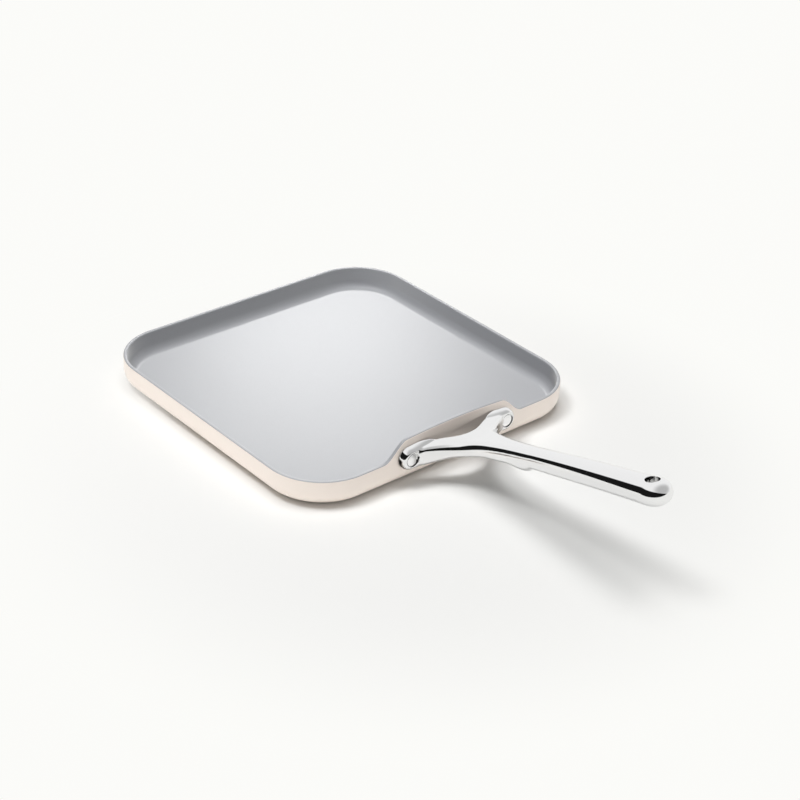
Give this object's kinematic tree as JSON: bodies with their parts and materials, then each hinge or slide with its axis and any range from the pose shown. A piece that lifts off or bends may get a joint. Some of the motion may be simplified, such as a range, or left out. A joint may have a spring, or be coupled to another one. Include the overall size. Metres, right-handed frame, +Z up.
{
  "type": "square griddle pan",
  "caption": "Square low-walled griddle pan with round corners, a grey ceramic cooking side, a cream outside and a forked polished steel handle riveted to a raised tab.",
  "frame": {"origin": "centre of the base plate's underside, where the pan rests on the stovetop", "axes": "+X along the handle away from the pan, +Y across the handle, +Z up"},
  "size_m": [0.4945, 0.28, 0.0884],
  "materials": {
    "pressed_aluminium": "satin",
    "grey_ceramic": "fine satin nonstick",
    "cream_ceramic": "semi-gloss",
    "plate_steel": "brushed",
    "polished_steel": "mirror polished",
    "rivet_steel": "polished"
  },
  "bodies": {
    "root": {"pan_body": "pressed_aluminium", "cooking_coating": "grey_ceramic", "outer_coating": "cream_ceramic", "base_plate": "plate_steel", "handle_yoke": "polished_steel", "handle_grip": "polished_steel", "hang_hole_sleeve": "polished_steel", "rivet_left": "rivet_steel", "rivet_right": "rivet_steel"}
  },
  "joints": []
}
